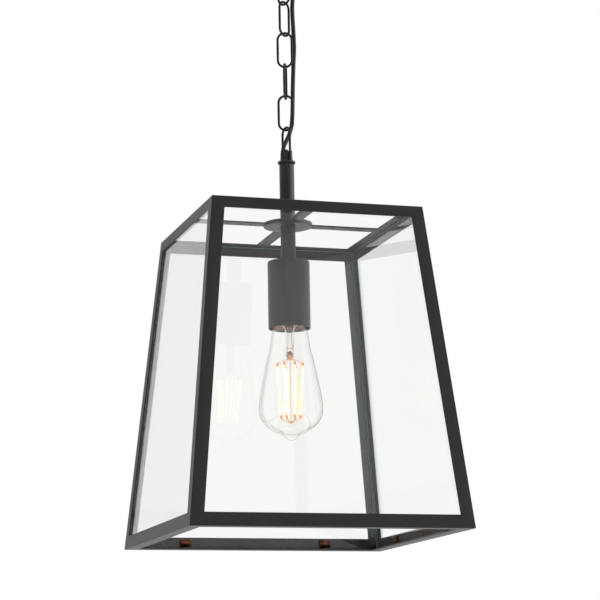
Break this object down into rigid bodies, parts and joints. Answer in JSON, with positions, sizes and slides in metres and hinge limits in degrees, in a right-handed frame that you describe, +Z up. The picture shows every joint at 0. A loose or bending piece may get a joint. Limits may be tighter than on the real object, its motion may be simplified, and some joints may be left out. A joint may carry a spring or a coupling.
{
  "type": "hanging glass lantern",
  "caption": "Tapered square lantern of black angle section with clear panes, open above and below, hung by a stem, oval-link chain and flex from a round ceiling rose.",
  "frame": {"origin": "middle of the ceiling plate's upper face, where the rose meets the ceiling", "axes": "+Z up, out of the ceiling plate; -Y out through the front pane; +X to the right pane"},
  "size_m": [0.276, 0.276, 0.6449],
  "materials": {
    "black_satin_paint": "satin black powder coat",
    "black_chain_steel": "black-dipped steel wire",
    "clear_glass": "clear polished glass",
    "copper_spring": "copper-plated spring strip",
    "brass": "pressed brass",
    "nickel_plate": "nickel-plated brass",
    "zinc_steel": "zinc-plated steel",
    "porcelain": "glazed porcelain",
    "black_cap_glass": "dark vitrite",
    "lamp_filament": "amber phosphor-coated sticks",
    "black_flex_pvc": "satin PVC sheath",
    "white_polyamide": "moulded polyamide"
  },
  "bodies": {
    "rose": {"ceiling_plate": "zinc_steel", "hook_nut": "zinc_steel", "rose_cover": "black_satin_paint", "ring_nut": "black_satin_paint", "ceiling_hook": "black_satin_paint", "cord_grip": "black_flex_pvc", "terminal_block": "white_polyamide", "flex_in_rose": "black_flex_pvc", "flex": "black_flex_pvc"},
    "link_1": {"chain_link_1": "black_chain_steel"},
    "link_2": {"chain_link_2": "black_chain_steel"},
    "link_3": {"chain_link_3": "black_chain_steel"},
    "link_4": {"chain_link_4": "black_chain_steel"},
    "link_5": {"chain_link_5": "black_chain_steel"},
    "link_6": {"chain_link_6": "black_chain_steel"},
    "lantern": {"bottom_rail_back": "black_satin_paint", "bottom_rail_front": "black_satin_paint", "bottom_rail_left": "black_satin_paint", "bottom_rail_right": "black_satin_paint", "centre_contact": "brass", "corner_post_back_left": "black_satin_paint", "corner_post_front_right": "black_satin_paint", "corner_post_left_front": "black_satin_paint", "corner_post_right_back": "black_satin_paint", "cross_arm_back": "black_satin_paint", "cross_arm_front": "black_satin_paint", "cross_arm_left": "black_satin_paint", "cross_arm_right": "black_satin_paint", "flex_in_stem": "black_flex_pvc", "glass_back": "clear_glass", "glass_clip_back_1": "copper_spring", "glass_clip_back_2": "copper_spring", "glass_clip_front_1": "copper_spring", "glass_clip_front_2": "copper_spring", "glass_clip_left_1": "copper_spring", "glass_clip_left_2": "copper_spring", "glass_clip_right_1": "copper_spring", "glass_clip_right_2": "copper_spring", "glass_front": "clear_glass", "glass_left": "clear_glass", "glass_right": "clear_glass", "holder_cup": "black_satin_paint", "holder_nipple": "zinc_steel", "hub_plate": "black_satin_paint", "screw_shell": "brass", "socket_body": "porcelain", "stem_collar": "black_satin_paint", "stem_tube": "black_satin_paint", "top_rail_back": "black_satin_paint", "top_rail_front": "black_satin_paint", "top_rail_left": "black_satin_paint", "top_rail_right": "black_satin_paint", "yoke": "black_satin_paint"},
    "bulb_travel": {"bulb_contact": "nickel_plate"},
    "bulb": {"bulb_cap": "nickel_plate", "cap_insulator": "black_cap_glass", "bulb_glass": "clear_glass", "bulb_mount": "clear_glass", "filament_cage": "lamp_filament"}
  },
  "joints": [
    {"name": "link_1_swing", "type": "hinge", "parent": "rose", "child": "link_1", "pos_m": [0, 0, -0.06425], "axis": [0.8387, 0.5446, 0], "range_deg": [-25, 25], "deforming": ["flex"]},
    {"name": "link_2_swing", "type": "hinge", "parent": "link_1", "child": "link_2", "pos_m": [0, 0, -0.09688], "axis": [-0.5446, 0.8387, 0], "range_deg": [-25, 25], "deforming": ["flex"]},
    {"name": "link_3_swing", "type": "hinge", "parent": "link_2", "child": "link_3", "pos_m": [0, 0, -0.13028], "axis": [0.8387, 0.5446, 0], "range_deg": [-15, 15], "deforming": ["flex"]},
    {"name": "link_4_twist", "type": "hinge", "parent": "link_3", "child": "link_4", "pos_m": [0, 0, -0.16367], "axis": [0, 0, 1], "range_deg": [-40, 40], "deforming": ["flex"]},
    {"name": "link_5_swing", "type": "hinge", "parent": "link_4", "child": "link_5", "pos_m": [0, 0, -0.19708], "axis": [0.2924, 0.9563, 0], "range_deg": [-15, 15], "deforming": ["flex"]},
    {"name": "link_6_swing", "type": "hinge", "parent": "link_5", "child": "link_6", "pos_m": [0, 0, -0.23048], "axis": [0.9563, -0.2924, 0], "range_deg": [-15, 15], "deforming": ["flex"]},
    {"name": "lantern_tilt", "type": "hinge", "parent": "link_6", "child": "lantern", "pos_m": [0, 0, -0.25905], "axis": [0.9703, 0.2419, 0], "range_deg": [-15, 15], "deforming": ["flex"]},
    {"name": "bulb_drop", "type": "slide", "parent": "lantern", "child": "bulb_travel", "axis": [0, 0, -1], "range_m": [0, 0.01815]},
    {"name": "bulb_unscrew", "type": "hinge", "parent": "bulb_travel", "child": "bulb", "pos_m": [0, 0, -0.43], "axis": [0, 0, -1], "range_deg": [0, 1800]}
  ],
  "couplings": [
    {"joint": "bulb_drop", "follows": "bulb_unscrew", "m_per_rad": 0.00057757}
  ]
}
